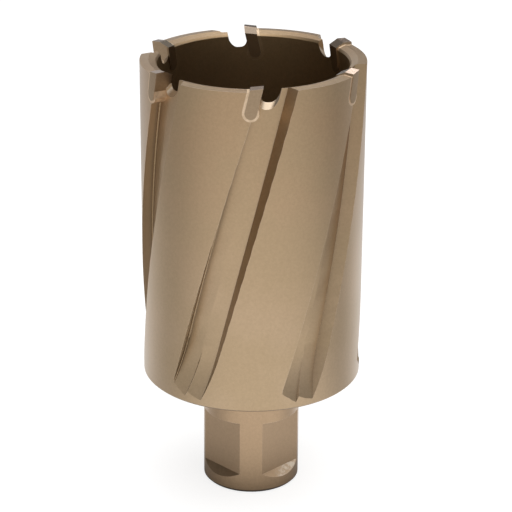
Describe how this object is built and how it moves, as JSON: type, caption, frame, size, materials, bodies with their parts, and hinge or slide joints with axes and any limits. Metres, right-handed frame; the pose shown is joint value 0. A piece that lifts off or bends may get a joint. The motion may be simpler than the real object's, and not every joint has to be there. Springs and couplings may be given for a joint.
{
  "type": "annular cutter",
  "caption": "Annular cutter for holes in metal: a hollow fluted cup with brazed carbide tips round its rim, on a round shank with clamping flats.",
  "frame": {"origin": "centre of the shank's end face, which the cutter stands on", "axes": "+Z along the axis from the shank to the teeth; -Y is the front, midway between the two clamping flats"},
  "size_m": [0.0428, 0.043, 0.088],
  "materials": {
    "coated_steel": "satin bronze coating over finely blasted steel",
    "carbide": "ground carbide, coated on its sides",
    "braze": "pale braze fillet"
  },
  "bodies": {
    "root": {"cutter_body": "coated_steel", "carbide_tip_1": "carbide", "carbide_tip_2": "carbide", "carbide_tip_3": "carbide", "carbide_tip_4": "carbide", "carbide_tip_5": "carbide", "carbide_tip_6": "carbide", "braze_seam_1": "braze", "braze_seam_2": "braze", "braze_seam_3": "braze", "braze_seam_4": "braze", "braze_seam_5": "braze", "braze_seam_6": "braze"}
  },
  "joints": []
}
